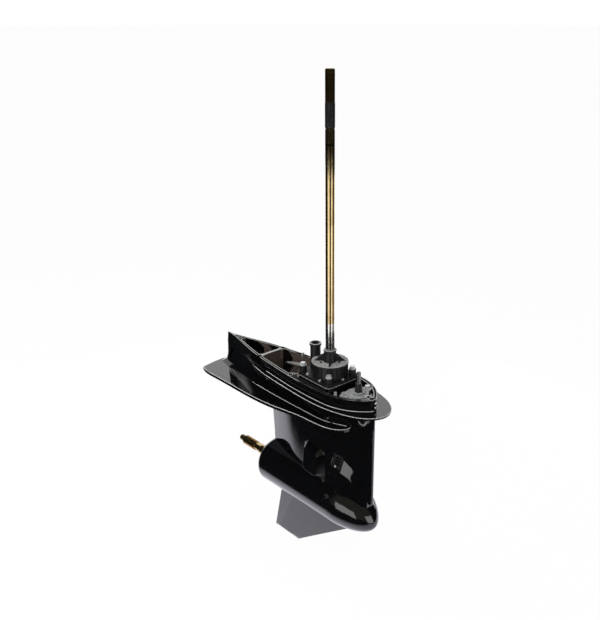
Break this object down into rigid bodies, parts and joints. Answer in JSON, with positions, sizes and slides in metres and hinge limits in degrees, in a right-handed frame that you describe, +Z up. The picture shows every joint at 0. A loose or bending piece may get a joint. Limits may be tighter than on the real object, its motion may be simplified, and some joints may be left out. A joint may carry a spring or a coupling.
{
  "type": "outboard lower unit",
  "caption": "Outboard motor lower unit: gearcase with skeg and plate, water pump, drive and propeller shafts, bevel gears and jaw clutch.",
  "frame": {"origin": "where the drive shaft's axis meets the machined deck that bolts to the midsection", "axes": "+X forward to the bow, +Y to port, +Z up along the drive shaft; the propeller shaft points along -X"},
  "size_m": [0.5519, 0.1803, 1.123],
  "materials": {
    "black_paint": "deep gloss black paint on cast aluminium",
    "carrier_paint": "dull black coated aluminium",
    "pump_plastic": "glass-filled black plastic, slightly rough",
    "cover_alloy": "light grey coated alloy",
    "gold_steel": "stainless steel shaft with a golden-brown cast, ground bands bright",
    "steel": "polished stainless steel fasteners",
    "gear_steel": "hardened gear steel, oiled",
    "bearing_steel": "ground bearing steel",
    "brass": "sintered bronze",
    "rubber": "black nitrile rubber",
    "gasket": "pressed fibre gasket",
    "nylon": "moulded black nylon"
  },
  "bodies": {
    "gearcase": {"gearcase_housing": "black_paint", "bearing_carrier": "carrier_paint", "carrier_ring_nut": "carrier_paint", "carrier_tab_washer": "steel", "prop_shaft_seals": "rubber", "carrier_needle_bearing": "bearing_steel", "lower_needle_bearing": "bearing_steel", "upper_bearing_cup": "bearing_steel", "forward_bearing_cup": "bearing_steel", "reverse_bearing_outer": "bearing_steel", "reverse_bearing_balls": "bearing_steel", "drive_shaft_seal_housing": "carrier_paint", "drive_shaft_seals": "rubber", "pump_gasket": "gasket", "pump_base_plate": "steel", "pump_housing": "pump_plastic", "pump_cup": "steel", "water_tube_seal": "rubber", "pump_dowels": "steel", "pump_bolts": "steel", "shift_cover": "cover_alloy", "cover_screws": "steel", "shift_boot": "rubber", "locating_dowels": "steel", "water_inlet_starboard": "nylon", "water_inlet_port": "nylon", "intake_screws": "steel", "drain_plug": "steel", "level_plug": "steel"},
    "drive_line": {"drive_shaft": "gold_steel", "pinion_gear": "gear_steel", "pinion_nut": "steel", "impeller_key": "steel", "impeller": "rubber", "upper_bearing_cone": "bearing_steel"},
    "forward_gear_set": {"forward_gear": "gear_steel", "forward_gear_bush": "brass", "forward_bearing_cone": "bearing_steel"},
    "reverse_gear_set": {"reverse_gear": "gear_steel", "reverse_bearing_inner": "bearing_steel"},
    "propeller_shaft": {"prop_shaft": "gold_steel"},
    "clutch": {"clutch_dog": "gear_steel", "clutch_cross_pin": "steel", "clutch_pin_coil": "steel", "shift_push_rod": "steel"},
    "follower": {"shift_follower": "gear_steel"},
    "shift_gear": {"shift_shaft": "steel", "shift_cam": "gear_steel"}
  },
  "joints": [
    {"name": "driveshaft_spin", "type": "hinge", "parent": "gearcase", "child": "drive_line", "pos_m": [0, 0, 0], "axis": [0, 0, 1], "continuous": true},
    {"name": "forward_gear_spin", "type": "hinge", "parent": "gearcase", "child": "forward_gear_set", "pos_m": [0, 0, -0.283], "axis": [1, 0, 0], "continuous": true},
    {"name": "reverse_gear_spin", "type": "hinge", "parent": "gearcase", "child": "reverse_gear_set", "pos_m": [0, 0, -0.283], "axis": [1, 0, 0], "continuous": true},
    {"name": "prop_shaft_spin", "type": "hinge", "parent": "gearcase", "child": "propeller_shaft", "pos_m": [0, 0, -0.283], "axis": [1, 0, 0], "continuous": true},
    {"name": "clutch_slide", "type": "slide", "parent": "propeller_shaft", "child": "clutch", "axis": [1, 0, 0], "range_m": [-0.0045, 0.0045]},
    {"name": "follower_slide", "type": "slide", "parent": "gearcase", "child": "follower", "axis": [1, 0, 0], "range_m": [-0.0045, 0.0045]},
    {"name": "shift_turn", "type": "hinge", "parent": "gearcase", "child": "shift_gear", "pos_m": [0.088, 0, 0], "axis": [0, 0, 1], "range_deg": [-40, 40]}
  ],
  "couplings": [
    {"joint": "forward_gear_spin", "follows": "driveshaft_spin", "ratio": -0.5},
    {"joint": "reverse_gear_spin", "follows": "driveshaft_spin", "ratio": 0.5},
    {"joint": "clutch_slide", "follows": "follower_slide", "ratio": 1},
    {"joint": "shift_turn", "follows": "follower_slide", "rad_per_m": -155.1}
  ]
}
